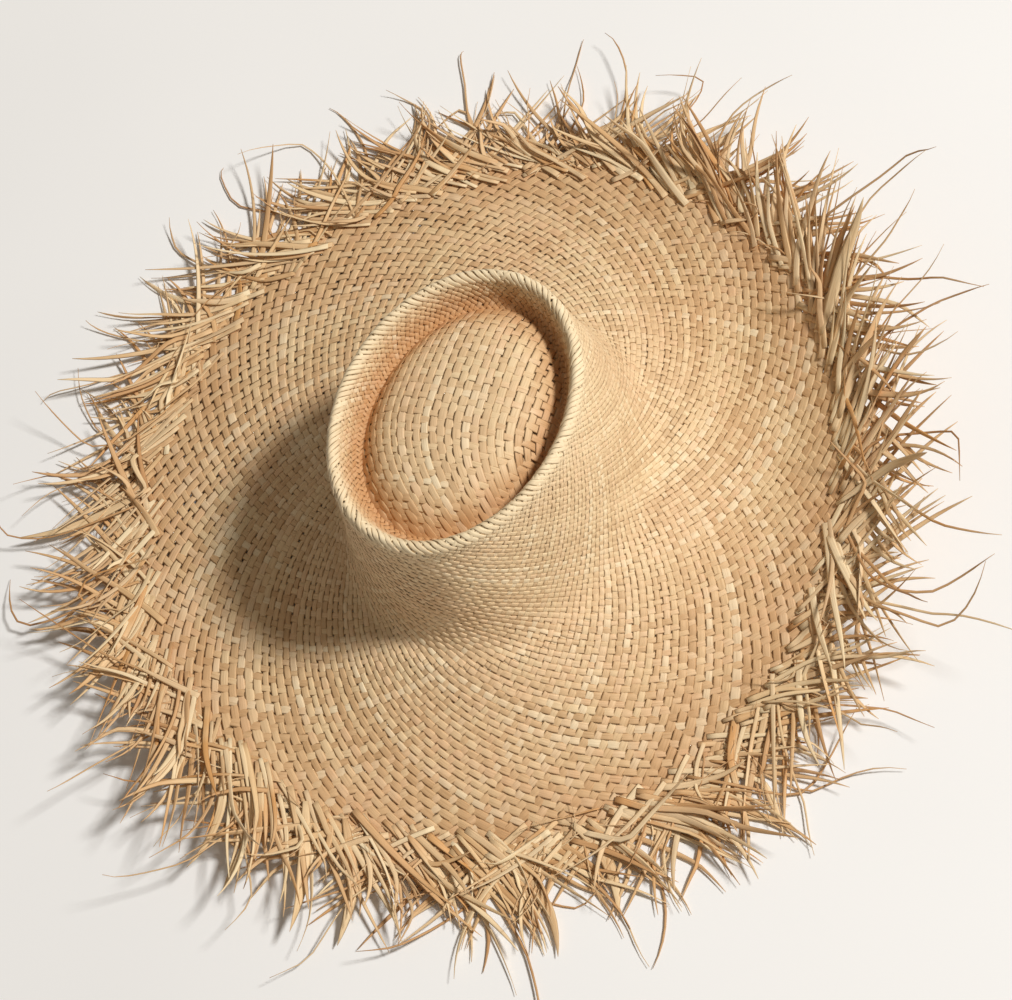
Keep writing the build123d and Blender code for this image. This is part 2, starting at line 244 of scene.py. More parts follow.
class Strands:
    """Collects strips of raffia and turns them into one mesh."""

    def __init__(self):
        self.points, self.quads, self.uvs, self.rows = [], [], [], []
        self.tints, self.browns_and_painted_light = [], []
        self.count = 0
        self.strips = 0

    def add(self, middle, normal, width, thickness, tint, brown_and_painted_light, start, roll=0.0):
        """middle and normal are (strands, stations, 3); the rest spread to (strands, stations)."""
        rows, stations = middle.shape[:2]

        def spread(value):
            return np.broadcast_to(value, (rows, stations))

        width, thickness, roll = spread(width), spread(thickness), spread(roll)[..., None]
        ahead = unit(np.gradient(middle, axis=1))
        level = unit(np.cross(normal, ahead))
        upright = np.cross(ahead, level)
        across = level * np.cos(roll) + upright * np.sin(roll)
        upward = upright * np.cos(roll) - level * np.sin(roll)
        x, y = SECTION.T
        ring = len(x)
        points = (
            middle[:, :, None]
            + across[:, :, None] * (width[:, :, None] * x)[..., None]
            + upward[:, :, None] * (thickness[:, :, None] * y)[..., None]
        )
        index = np.arange(rows * stations * ring).reshape(rows, stations, ring) + self.count
        after = np.roll(index, -1, axis=2)
        quads = np.stack([index[:, :-1], index[:, 1:], after[:, 1:], after[:, :-1]], axis=-1)
        steps = np.linalg.norm(np.diff(middle, axis=1), axis=-1)
        along = np.concatenate([np.zeros((rows, 1)), np.cumsum(steps, axis=1)], axis=1)
        along = along + np.reshape(start, (rows, 1))
        self.points.append(points.reshape(-1, 3))
        self.quads.append(quads.reshape(-1, 4))
        left, right = along[:, :-1, None], along[:, 1:, None]
        side_start = np.arange(ring) / ring
        self.uvs.append(self.corners(left, right, side_start, side_start + 1 / ring, quads.shape))
        far = np.linspace(PACKED_START, PACKED_END, stations)
        left, right = far[None, :-1, None], far[None, 1:, None]
        row = (np.arange(rows) + self.strips)[:, None, None]
        self.rows.append(self.corners(left, right, row + PACKED[:-1], row + PACKED[1:], quads.shape))
        cap_rows = np.repeat(np.arange(rows) + self.strips + 0.5, CAP_CORNERS)
        self.strips += rows
        self.tints.append(np.broadcast_to(spread(tint)[..., None], (rows, stations, ring)).ravel())
        self.browns_and_painted_light.append(np.broadcast_to(spread(brown_and_painted_light)[..., None], (rows, stations, ring)).ravel())
        for end, edge in ((0, PACKED_START), (-1, PACKED_END)):  # close both ends of every strip
            order = index[:, end] if end == 0 else index[:, end, ::-1]
            self.quads.append(np.stack([order[:, 0], order[:, 1], order[:, 2], order[:, 3]], -1))
            self.quads.append(np.stack([order[:, 0], order[:, 3], order[:, 4], order[:, 4]], -1))
            self.uvs.append(np.zeros((rows * CAP_CORNERS, 2)))
            self.rows.append(np.stack([np.full(rows * CAP_CORNERS, edge), cap_rows], axis=-1))
        self.count += rows * stations * ring

    @staticmethod
    def corners(left, right, low, high, shape):
        """The layout coordinates of every face's four corners."""
        across = [np.broadcast_to(value, shape[:3]) for value in (left, right, right, left)]
        upward = [np.broadcast_to(value, shape[:3]) for value in (low, low, high, high)]
        return np.stack([np.stack(across, -1), np.stack(upward, -1)], axis=-1).reshape(-1, 2)

    def piece(self, name, material, replaced, slot):
        """Everything collected so far, as one piece in place of CAD nodes."""
        points = np.concatenate(self.points)
        quads = np.concatenate(self.quads)
        uvs = np.concatenate(self.uvs)
        corner_kept = np.ones(quads.shape, bool)
        corner_kept[quads[:, 2] == quads[:, 3], 3] = False
        sizes = corner_kept.sum(axis=1)
        mesh = bpy.data.meshes.new(name)
        mesh.vertices.add(len(points))
        mesh.vertices.foreach_set("co", points.ravel())
        mesh.loops.add(int(sizes.sum()))
        mesh.loops.foreach_set("vertex_index", quads[corner_kept].astype(np.int32))
        mesh.polygons.add(len(quads))
        starts = np.concatenate([[0], np.cumsum(sizes)[:-1]])
        mesh.polygons.foreach_set("loop_start", starts.astype(np.int32))
        mesh.polygons.foreach_set("use_smooth", np.ones(len(quads), bool))
        packed = np.concatenate(self.rows) / (1, self.strips)
        for label, layout in (("strand", uvs), ("OFBake", packed)):
            layer = mesh.uv_layers.new(name=label)
            layer.data.foreach_set("uv", layout[corner_kept.ravel()].ravel())
        for label, values in (("tint", self.tints), ("brown_and_painted_light", self.browns_and_painted_light)):
            attribute = mesh.attributes.new(label, "FLOAT", "POINT")
            attribute.data.foreach_set("value", np.concatenate(values))
        mesh.update(calc_edges=True)
        mesh.validate()
        mesh.materials.append(material)
        finish_piece(bpy.data.objects.new(name, mesh), replaced)


def finish_piece(piece, replaced):
    """Link a piece, let it ride on the hat's body, and hide the CAD parts it replaces."""
    bpy.context.scene.collection.objects.link(piece)
    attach(piece, "root")
    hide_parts(*replaced)


# ---------------------------------------------------------------- spiral weave

# Angle between a strand and the meridian: (station, degrees).
LEAN = (
    (0, 34),
    (SHOULDER_STATION, 40),
    (CROWN_LENGTH, 49),
    (CROWN_LENGTH + BRIM_LENGTH / 2, 55),
    (EDGE, 59),
)
TWIST = 0.15  # how much more one family leans than the other, as a tangent
fine = np.linspace(0, EDGE, 4000)  # stations at which the tables below are worked out
lean = np.radians(np.interp(fine, *np.transpose(LEAN)))
crown_offset = np.interp(fine, CROWN_STATIONS, CROWN_LINE[:, 0])
mean_radius = (SHOULDER_X + SHOULDER_Y) / 2 + crown_offset + np.maximum(fine - CROWN_LENGTH, 0)
turn = np.concatenate([[0], np.cumsum((np.tan(lean) / mean_radius)[:-1] * np.diff(fine))])
twist = np.concatenate([[0], np.cumsum((TWIST / mean_radius)[:-1] * np.diff(fine))])
twist = twist - twist[-1]
crossing = (turn - turn[-1]) * STRANDS / np.pi  # strands crossed, counted from the edge
spacing = 2 * np.pi * mean_radius / STRANDS * np.cos(lean)

UPPER = (  # azimuth in degrees, and which family lies higher there: 1 or -1
    (0, -0.5),
    (8, 0.2),
    (24, 0.7),
    (72, 0.1),
    (98, 0.5),
    (128, -0.2),
    (175, -0.5),
    (210, 0.4),
    (240, 0.9),
    (300, 1.0),
    (314, 0.3),
    (326, -0.8),
    (350, -0.9),
    (360, -0.5),
)
UPPER_AZIMUTHS = np.radians([azimuth for azimuth, share in UPPER])
UPPER_SHARES = [share for azimuth, share in UPPER]
UPPER_START = 20 * MM  # past the crest, where the difference is at its full size
PATTERN_ROOM = 30  # strands start at random places up to this far along the fibre pattern
FULL_TURN = 6.3  # for random phases
WAVE_RATES = (0.05, 0.5)  # slowest and fastest wander, in radians to a crossing


class Family:
    """One of the two sets of spiral strands; side is +1 or -1."""

    def __init__(self, side):
        self.side = side
        self.azimuth = (np.arange(STRANDS) + 0.5) * 2 * np.pi / STRANDS
        self.tint = chance.random(STRANDS)
        self.width = np.clip(chance.normal(1, 0.11, STRANDS), 0.8, 1.2)
        self.depth = chance.uniform(0.9, 1.15, STRANDS)
        self.start = chance.uniform(0, PATTERN_ROOM, STRANDS)
        self.waves = [
            (chance.uniform(*WAVE_RATES, STRANDS), chance.uniform(0, FULL_TURN, STRANDS))
            for _ in range(5)
        ]

    def drift(self, rows, which, picked):
        """A slow wander between -1 and 1 along each picked strand."""
        rate, phase = self.waves[which]
        faster, later = self.waves[(which + 1) % len(self.waves)]
        slow = np.sin(rows[None] * rate[picked, None] + phase[picked, None])
        quick = np.sin(rows[None] * faster[picked, None] * 2.3 + later[picked, None])
        return 0.6 * slow + 0.4 * quick

    def path(self, rows, picked):
        """Middle points, normals, widths and rolls of the picked strands at rows of crossings."""
        station = np.interp(rows, crossing, fine)[None] * np.ones((len(picked), 1))
        gap = np.interp(station, fine, spacing)
        radius = np.interp(station, fine, mean_radius)
        swing = np.interp(station, fine, turn) - turn[-1]
        azimuth = self.azimuth[picked, None] + self.side * swing + np.interp(station, fine, twist)
        azimuth = azimuth + self.drift(rows, 0, picked) * WANDER * gap / radius
        normal = surface_normal(station, azimuth)
        rope = np.exp(-(((station - CREST_STATION) / CREST_ROPE) ** 2))
        lift = self.side * np.cos(np.pi * rows)[None] * self.depth[picked, None] * UNDULATION
        upper = np.interp(azimuth % (2 * np.pi), UPPER_AZIMUTHS, UPPER_SHARES)
        upper = upper * np.clip((station - CREST_STATION) / UPPER_START, 0, 1)
        lift = lift * (1 - rope)
        lift = lift + self.side * (UPPER_LIFT * upper * (1 - rope) + CREST_LIFT * rope)
        lift = lift + self.drift(rows, 1, picked) * (ROUGHNESS + CREST_ROUGHNESS * rope)
        middle = surface(station, azimuth) + normal * lift[..., None]
        width = gap * COVER * self.width[picked, None] * (1 + 0.05 * self.drift(rows, 2, picked))
        width = width * (1 - 0.03 * rope)
        thickness = STRAND_THICKNESS * (1 + 0.5 * rope)
        roll = self.drift(rows, 3, picked) * 0.08
        return middle, normal, width, thickness, roll, station


FAMILIES = (Family(1), Family(-1))

# Shift of the weave's colour toward brown (1) or pale (-1): (station, amount); real browning mixed with
# painted shade and painted highlight.
BROWNING_AND_PAINTED_LIGHT = (
    # painted shade and warm bounce light in the groove
    (0, 1.0),
    (7 * MM, 0.7),
    # painted highlight along the crest
    (CREST_STATION - 7 * MM, -0.4),
    (CREST_STATION - 3 * MM, -1.0),
    (CREST_STATION + 3 * MM, -1.0),
    (SHOULDER_STATION + 10 * MM, -0.45),
    (CROWN_LENGTH, -0.3),
    (CROWN_LENGTH + 40 * MM, 0.0),
    # browner toward the brim's edge: partly the raffia's own colour, partly a painted shadow band at
    # the fringe's roots
    (EDGE - 45 * MM, 0.0),
    (EDGE - 8 * MM, 0.4),
    (EDGE + 15 * MM, 0.7),
)


def rows_between(low, high, steps):
    """Rows of crossings, `steps` to a crossing, from one station to another."""
    first, last = np.interp([low, high], fine, crossing)
    return np.linspace(first, last, max(int((last - first) * steps), 2) + 1)


def weave_zone(name, low, high, replaced, steps, parts):
    """Both families of strands between two stations, split into `parts` pieces."""
    rows = rows_between(low, high, steps)
    for part in range(parts):
        picked = np.arange(STRANDS * part // parts, STRANDS * (part + 1) // parts)
        strands = Strands()
        for family in FAMILIES:
            middle, normal, width, thickness, roll, station = family.path(rows, picked)
            brown_and_painted_light = np.interp(station, *np.transpose(BROWNING_AND_PAINTED_LIGHT))
            strands.add(
                middle, normal, width, thickness, family.tint[picked, None], brown_and_painted_light,
                family.start[picked], roll,
            )
        strands.piece(f"{name}_{part + 1}", RAFFIA, [replaced], "woven_raffia")


# ---------------------------------------------------------------- domed tip

DOME_SPACING = 4.9 * MM
DOME_BEND = 9.0  # how fast the lengthwise strands curve aside over the dome's rear half, per metre
DOME_HEADING = math.radians(7)
DOME_FOOT = 1.05  # where its strands end, as a share of its radius
DOME_PROFILE = (  # share of the radius, share of the height
    (0, 1),
    (0.3, 0.975),
    (0.55, 0.87),
    (0.76, 0.65),
    (0.9, 0.33),
    (1, 0),
    (DOME_FOOT, -0.12),
)
DOME_FAR_SIDE = [(-share, rise) for share, rise in DOME_PROFILE[2:0:-1]]  # keeps the top level
DOME_LINE, _ = smooth_line(DOME_FAR_SIDE + list(DOME_PROFILE), 400)
DOME_COVER = 1.05
DOME_UNDULATION = 0.85 * UNDULATION
DOME_UPPER_LIFT = 0.08 * MM  # of the lengthwise strands above the cross ones
DOME_STEPS = 3.5  # to a crossing


def dome_height(share):
    rise = np.interp(share, DOME_LINE[:, 0], DOME_LINE[:, 1])
    return GROOVE_Z + rise * (DOME_Z - GROOVE_Z) - WEAVE / 2


def dome_share(x, y):
    return np.hypot(x / DOME_X, y / DOME_Y)


def dome_plan(p, q):
    """Plan position of grid coordinates; the lengthwise strands curve aside at the rear."""
    p = p + DOME_BEND * np.minimum(q, 0) ** 2
    x = p * math.cos(DOME_HEADING) - q * math.sin(DOME_HEADING)
    y = p * math.sin(DOME_HEADING) + q * math.cos(DOME_HEADING)
    return x, y


def dome_surface(p, q):
    x, y = dome_plan(p, q)
    share = dome_share(x, y)
    inside = np.minimum(DOME_FOOT / np.maximum(share, 1e-9), 1)
    height = dome_height(np.minimum(share, DOME_FOOT))
    return np.stack([x * inside, y * inside, height], axis=-1)


def dome_normal(p, q):
    first = dome_surface(p + NORMAL_STEP, q) - dome_surface(p - NORMAL_STEP, q)
    second = dome_surface(p, q + NORMAL_STEP) - dome_surface(p, q - NORMAL_STEP)
    return unit(np.cross(first, second))


SHORTEST_DOME_STRAND = 20  # tried points; a shorter strand is left out


def dome_reach(family, place):
    """Where a strand of the dome's grid starts and ends, at the dome's foot."""
    along = np.linspace(-1.3 * DOME_Y, 1.3 * DOME_Y, 600)
    still = np.full_like(along, place)
    x, y = dome_plan(still, along) if family == 0 else dome_plan(along, still)
    inside = along[dome_share(x, y) < DOME_FOOT]
    return (inside[0], inside[-1]) if len(inside) > SHORTEST_DOME_STRAND else None


def weave_dome():
    """A grid of strands over the domed tip, tucked in at the groove."""
    strands = Strands()
    count = int(1.6 * DOME_Y / DOME_SPACING)
    for family, side in ((0, 1), (1, -1)):
        for index in range(-count, count + 1):
            wander = chance.uniform(0, FULL_TURN, 3)
            place = index * DOME_SPACING
            reach = dome_reach(family, place)
            if reach is None:
                continue
            steps = max(int((reach[1] - reach[0]) / DOME_SPACING * DOME_STEPS), 6)
            along = np.linspace(*reach, steps + 1)[None]
            sideways = place + 0.3 * MM * np.sin(along * 40 + wander[0])
            p, q = (sideways, along) if family == 0 else (along, sideways)
            normal = dome_normal(p, q)
            lift = side * (-1) ** index * DOME_UNDULATION * np.cos(np.pi * along / DOME_SPACING)
            lift = lift + side * DOME_UPPER_LIFT
            middle = dome_surface(p, q) + normal * lift[..., None]
            width = DOME_SPACING * DOME_COVER * chance.normal(1, 0.07)
            width = width * (1 + 0.05 * np.sin(along * 55 + wander[1]))
            share = dome_share(middle[..., 0], middle[..., 1])
            # Browner toward the dome's foot: painted shade and warm bounce light in the groove; paler
            # toward the top.
            brown_and_painted_light = np.interp(share, (0, 0.75, 0.97), (-0.3, -0.15, 0.8))
            roll = 0.08 * np.sin(along * 30 + wander[2])
            strands.add(
                middle, normal, width, STRAND_THICKNESS, chance.random(), brown_and_painted_light,
                chance.uniform(0, PATTERN_ROOM), roll,
            )
    strands.piece("tip_weave", RAFFIA, ["crown_tip"], "woven_raffia")


# ---------------------------------------------------------------- fringe

TUFTS = 24
FRINGE_STATIONS = 14
FLOOR_CLEARANCE = 0.6 * MM
LIMIT_EASE = 14 * MM  # the last stretch over which far-reaching tips are held back
KINK_SHARPNESS = 40
THINNEST = 0.3 * MM
EDGE_LEAN = LEAN[-1][1]
HALF_STRAND = 0.0105  # turn from a strand's middle to the middle of one of its halves
CLUMP_AZIMUTHS = np.cumsum(chance.uniform(0.10, 0.19, 60))
CLUMP_AZIMUTHS = CLUMP_AZIMUTHS[CLUMP_AZIMUTHS < 2 * np.pi]


def nearest_clump(azimuth):
    """Signed turn from an azimuth to the nearest gathering point of strand tips."""
    away = (CLUMP_AZIMUTHS[None] - np.reshape(azimuth, (-1, 1)) + np.pi) % (2 * np.pi) - np.pi
    return away[np.arange(len(away)), np.abs(away).argmin(axis=1)]


def outline(shape, share):
    """Width along a loose end, as a share of its full width."""
    if shape == "leaf":
        return np.sin(np.pi * (0.12 + 0.88 * share)) ** 0.8
    if shape == "thread":
        return (1 - 0.6 * share) * np.clip((1.02 - share) * 6, 0, 1)
    return (1 - share**3.4) ** 0.75 * (1 - 0.2 * share)


def loose_ends(
    strands, count, azimuth, side, tint, length, width, lift, lean, curl, kinks, rise, brown_and_painted_light,
    back=0.0, twist=0.0, gather=0.0, shape="strip",
):
    """Raffia ends that leave the weave `back` from the edge and run out past it.

    Angles are in degrees: lean from the brim's radius at the start, curl the turn up to
    the tip, kinks the size of sudden bends, rise the climb at the tip, twist the roll at
    the tip. gather is how strongly tips are drawn to the nearest clump.
    """
    share = np.linspace(0, 1, FRINGE_STATIONS)[None]

    def column(value):
        return np.broadcast_to(np.asarray(value, float), (count,))[:, None]

    station = EDGE - column(back)
    azimuth, side = column(azimuth), column(side)
    root = surface(station, azimuth)
    normal = surface_normal(station, azimuth)
    outward = np.stack([np.cos(azimuth), np.sin(azimuth), 0 * azimuth], -1)
    outward = unit(outward - normal * (normal * outward).sum(-1, keepdims=True))
    around = np.cross(normal, outward) * side[..., None]
    heading = np.radians(column(lean)) + np.radians(column(curl)) * share**1.3
    for middle_of_bend in chance.uniform(0.3, 0.85, (2, count, 1)):
        bend = np.radians(column(kinks)) * chance.normal(0, 1, (count, 1))
        heading = heading + bend / (1 + np.exp(-(share - middle_of_bend) * KINK_SHARPNESS))
    climb = np.radians(column(rise)) * share**1.2
    ripple = np.sin(share * 9 + chance.uniform(0, 6, (count, 1)))
    climb = climb + np.radians(column(kinks)) * 0.4 * ripple
    level = np.cos(heading)[..., None] * outward + np.sin(heading)[..., None] * around
    ahead = level * np.cos(climb)[..., None] + normal * np.sin(climb)[..., None]
    step = (column(length) / (FRINGE_STATIONS - 1))[..., None]
    run = np.cumsum(ahead * step, axis=1) - ahead[:, :1] * step
    middle = root + normal * column(lift)[..., None] + run
    reach = np.hypot(middle[..., 0], middle[..., 1])
    place = np.arctan2(middle[..., 1], middle[..., 0])
    turn_by = nearest_clump(place[:, -1])[:, None] * column(gather) * share**1.6
    limit = FRINGE_REACH - LIMIT_EASE
    eased = limit + LIMIT_EASE * np.tanh((reach - limit) / LIMIT_EASE)
    reach = np.where(reach > limit, eased, reach)
    middle[..., 0] = reach * np.cos(place + turn_by)
    middle[..., 1] = reach * np.sin(place + turn_by)
    body = np.maximum(outline(shape, share) * column(width), THINNEST)
    thickness = np.clip(body * 0.3, 0.28 * MM, 0.8 * MM)
    roll = np.radians(column(twist)) * share
    lowest = FLOOR_CLEARANCE + thickness / 2 + np.abs(np.sin(roll)) * body / 2
    over = chance.uniform(0, 2.5, (count, 1)) * MM * share
    middle[..., 2] = np.maximum(middle[..., 2], lowest + over)
    normals = np.broadcast_to(normal, middle.shape)
    browned_and_painted_shade = np.clip(column(brown_and_painted_light) + 0.35 * share**3, -1, 1)  # tips dry darker
    start = chance.uniform(0, PATTERN_ROOM, count)
    strands.add(middle, normals, body, thickness, column(tint), browned_and_painted_shade, start, roll)


def tuft(number):
    """The loose ends of one sector: the weave's own strands, split, and their frayed fibres."""
    strands = Strands()
    span = 2 * np.pi / TUFTS

    def anywhere(count):
        return (number + chance.random(count)) * span

    for family in FAMILIES:
        upper = family.side > 0
        own = np.flatnonzero((family.azimuth // span).astype(int) == number)
        count = len(own)
        for half in (-1, 1):  # every strand splits lengthwise in two
            loose_ends(
                strands, count, family.azimuth[own] + half * HALF_STRAND, family.side, family.tint[own],
                length=chance.uniform(46, 94, count) * MM, width=chance.uniform(2.8, 4.2, count) * MM,
                lift=(0.4 if upper else -0.3) * MM,
                lean=EDGE_LEAN + chance.normal(half * 2, 2.5, count),
                curl=chance.normal(-16, 15, count), kinks=chance.exponential(8, count),
                rise=chance.normal(13 if upper else 5, 8, count), twist=chance.normal(0, 30, count),
                gather=chance.uniform(0.2, 0.9, count), brown_and_painted_light=chance.uniform(-0.6, 0.15, count),
            )
        count = 16 if upper else 6
        loose_ends(
            strands, count, anywhere(count), family.side, chance.random(count),
            back=chance.uniform(-6, 12, count) * MM, length=chance.uniform(40, 96, count) * MM,
            width=chance.uniform(2.4, 5.0, count) * MM, lift=chance.uniform(0.8, 2.2, count) * MM,
            lean=chance.normal(60, 6, count), curl=chance.normal(-18, 20, count),
            kinks=chance.exponential(10, count), rise=chance.normal(16, 10, count),
            twist=chance.normal(0, 45, count), gather=chance.uniform(0.1, 1.0, count),
            brown_and_painted_light=chance.uniform(-0.9, 0.3, count),
        )
        count = 3
        loose_ends(
            strands, count, anywhere(count), family.side, chance.random(count),
            back=chance.uniform(-12, 8, count) * MM, length=chance.uniform(20, 60, count) * MM,
            width=chance.uniform(0.8, 1.4, count) * MM, lift=chance.uniform(0.6, 2.4, count) * MM,
            lean=chance.normal(44, 28, count), curl=chance.normal(0, 45, count),
            kinks=chance.uniform(8, 30, count), rise=chance.normal(16, 14, count),
            shape="thread", brown_and_painted_light=chance.uniform(-0.4, 0.6, count),
        )
    count = chance.integers(0, 3)
    loose_ends(
        strands, count, anywhere(count), 1, chance.uniform(0.5, 1, count), back=4 * MM,
        length=chance.uniform(56, 96, count) * MM, width=chance.uniform(4.5, 8.5, count) * MM,
        lift=chance.uniform(2, 3.5, count) * MM, lean=chance.normal(48, 14, count),
        curl=chance.normal(-18, 22, count), kinks=chance.uniform(2, 9, count),
        rise=chance.normal(11, 8, count), twist=chance.normal(0, 60, count), gather=0.4,
        shape="leaf", brown_and_painted_light=chance.uniform(-0.4, 0.3, count),
    )
    count = chance.integers(1, 4)
    loose_ends(
        strands, count, anywhere(count), chance.choice((-1, 1), count), chance.random(count),
        length=chance.uniform(88, 132, count) * MM, width=chance.uniform(1.5, 2.5, count) * MM,
        lift=chance.uniform(1, 3, count) * MM, lean=chance.normal(38, 16, count),
        curl=chance.normal(-32, 30, count), kinks=chance.uniform(16, 38, count),
        rise=chance.normal(13, 8, count), shape="thread", brown_and_painted_light=chance.uniform(0.0, 0.6, count),
    )
    name = f"{number + 1:02d}"
    strands.piece(f"fringe_{name}", FRINGE, [f"fringe_tuft_{name}"], "raffia_strand")


# ---------------------------------------------------------------- materials

class Nodes:
    """Short helpers for building a material's node tree."""

    def __init__(self, name):
        self.material = bpy.data.materials.new(name)
        self.material.use_nodes = True
        self.tree = self.material.node_tree
        self.shader = self.tree.nodes["Principled BSDF"]

    def add(self, kind, **settings):
        node = self.tree.nodes.new(kind)
        for key, value in settings.items():
            setattr(node, key, value)
        return node

    def link(self, source, target):
        self.tree.links.new(source, target)

    def value(self, source, operation, other):
        node = self.add("ShaderNodeMath", operation=operation)
        for socket, item in zip(node.inputs, (source, other)):
            if isinstance(item, (int, float)):
                socket.default_value = item
            else:
                self.link(item, socket)
        return node.outputs[0]

    def ramp(self, source, stops):
        node = self.add("ShaderNodeValToRGB")
        elements = node.color_ramp.elements
        while len(elements) < len(stops):
            elements.new(0.5)
        for element, (place, colour) in zip(elements, stops):
            element.position = place
            element.color = (*colour, 1)
        self.link(source, node.inputs["Fac"])
        return node.outputs["Color"]

    def mix(self, share, first, second, blend="MIX"):
        node = self.add("ShaderNodeMix", data_type="RGBA", blend_type=blend)
        sockets = node.inputs[0], node.inputs[6], node.inputs[7]  # factor and the two colours
        for socket, item in zip(sockets, (share, first, second)):
            if isinstance(item, (int, float)):
                socket.default_value = item
            elif isinstance(item, tuple):
                socket.default_value = (*item, 1)
            else:
                self.link(item, socket)
        return node.outputs[2]

    def noise(self, vector, scale, detail=3, roughness=0.55):
        node = self.add("ShaderNodeTexNoise")
        node.inputs["Scale"].default_value = scale
        node.inputs["Detail"].default_value = detail
        node.inputs["Roughness"].default_value = roughness
        self.link(vector, node.inputs["Vector"])
        return node.outputs["Fac"]

    def across(self, *coordinates):
        """A vector from (source, factor) pairs, for a texture to be read at."""
        node = self.add("ShaderNodeCombineXYZ")
        for socket, (source, factor) in zip(node.inputs, coordinates):
            self.link(self.value(source, "MULTIPLY", factor), socket)
        return node.outputs[0]

    def bump(self, height, strength, distance):
        node = self.add("ShaderNodeBump")
        node.inputs["Strength"].default_value = strength
        node.inputs["Distance"].default_value = distance
        self.link(height, node.inputs["Height"])
        self.link(node.outputs[0], self.shader.inputs["Normal"])


def srgb(red, green, blue):
    """A colour given the way a screen shows it, as scene-linear values."""
    return tuple(
        c / 255 / 12.92 if c <= 10 else ((c / 255 + 0.055) / 1.055) ** 2.4 for c in (red, green, blue)
    )


def grey(level):
    return (level, level, level)


def raffia_material(name, tones, brown_and_shade_tone, brown_and_shade_strength, painted_edge_shade_strength):
    """Dry palm fibre: a tone for each strand, long fibre streaks, painted shade along the strands'
    edges and undersides, and browning mixed with painted shade and highlight from a per-point
    attribute.
    """
    n = Nodes(name)
    uv = n.add("ShaderNodeUVMap", uv_map="strand").outputs[0]
    split = n.add("ShaderNodeSeparateXYZ")
    n.link(uv, split.inputs[0])
    tint = n.add("ShaderNodeAttribute", attribute_name="tint").outputs["Fac"]
    brown_and_painted_light = n.add("ShaderNodeAttribute", attribute_name="brown_and_painted_light").outputs["Fac"]
    place = n.add("ShaderNodeTexCoord").outputs["Object"]
    along, side = split.outputs[0], split.outputs[1]
    fibre = n.noise(n.across((along, 55.0), (side, 16.0), (tint, 71.0)), 1.0, 5, 0.65)
    blotch = n.noise(n.across((along, 22.0), (tint, 53.0)), 1.0, 2)
    patch = n.noise(place, 17.0, 3)
    wander = n.value(n.value(blotch, "SUBTRACT", 0.5), "MULTIPLY", 0.9)
    tone = n.ramp(n.value(tint, "ADD", wander), tones)
    warm = n.ramp(patch, ((0.42, grey(0)), (0.72, grey(1))))
    tone = n.mix(n.value(warm, "MULTIPLY", 0.35), tone, srgb(226, 178, 134))
    # Painted shade and warm bounce light in the groove and a painted shadow band at the brim's edge,
    # mixed with the fringe's real browning and dry tips.
    browned_and_painted_shade = n.ramp(brown_and_painted_light, ((0, grey(0)), (1, grey(1))))
    tone = n.mix(n.value(browned_and_painted_shade, "MULTIPLY", brown_and_shade_strength), tone, brown_and_shade_tone)
    # Painted highlight on the crest, mixed with paler weave down the wall and on the dome's top, and
    # with real paler fringe strands.
    bleached_and_painted_highlight = n.ramp(n.value(brown_and_painted_light, "MULTIPLY", -1.0), ((0, grey(0)), (1, grey(1))))
    tone = n.mix(n.value(bleached_and_painted_highlight, "MULTIPLY", 0.7), tone, srgb(247, 231, 196))
    streak = n.ramp(fibre, ((0.25, (0.76, 0.71, 0.64)), (0.5, (0.97, 0.96, 0.95)), (0.75, grey(1.07))))
    tone = n.mix(1.0, tone, streak, "MULTIPLY")
    # Painted shade: darker flanks where neighbouring strands shade each other, and a darker underside.
    painted_edge_shade, shaded, underside = (0.62, 0.54, 0.44), (0.9, 0.87, 0.83), (0.8, 0.76, 0.72)
    rim = n.ramp(side, (
        (0, painted_edge_shade), (0.06, shaded), (0.13, grey(1)), (0.47, grey(1)),
        (0.54, shaded), (0.6, painted_edge_shade), (0.7, underside), (0.9, underside),
    ))
    tone = n.mix(painted_edge_shade_strength, tone, rim, "MULTIPLY")
    n.link(tone, n.shader.inputs["Base Color"])
    gloss = n.ramp(fibre, ((0.3, grey(0.72)), (0.7, grey(0.5))))
    n.link(gloss, n.shader.inputs["Roughness"])
    n.shader.inputs["Specular IOR Level"].default_value = 0.3
    n.bump(fibre, 0.6, 0.25 * MM)
    return n.material


STRAW_TONES = (
    (0.0, srgb(208, 172, 128)),
    (0.22, srgb(222, 188, 144)),
    (0.45, srgb(230, 200, 156)),
    (0.65, srgb(237, 211, 169)),
    (0.82, srgb(231, 194, 152)),
    (1.0, srgb(244, 224, 188)),
)
FRINGE_TONES = (
    (0.0, srgb(196, 152, 104)),
    (0.25, srgb(219, 178, 128)),
    (0.5, srgb(232, 199, 152)),
    (0.75, srgb(240, 216, 174)),
    (1.0, srgb(216, 164, 104)),
)
# Its brown colour also serves as painted shade and bounce light in the groove.
RAFFIA = raffia_material("raffia", STRAW_TONES, srgb(190, 134, 80), 0.75, 1.0)
FRINGE = raffia_material("raffia_fringe", FRINGE_TONES, srgb(158, 108, 64), 0.6, 0.35)


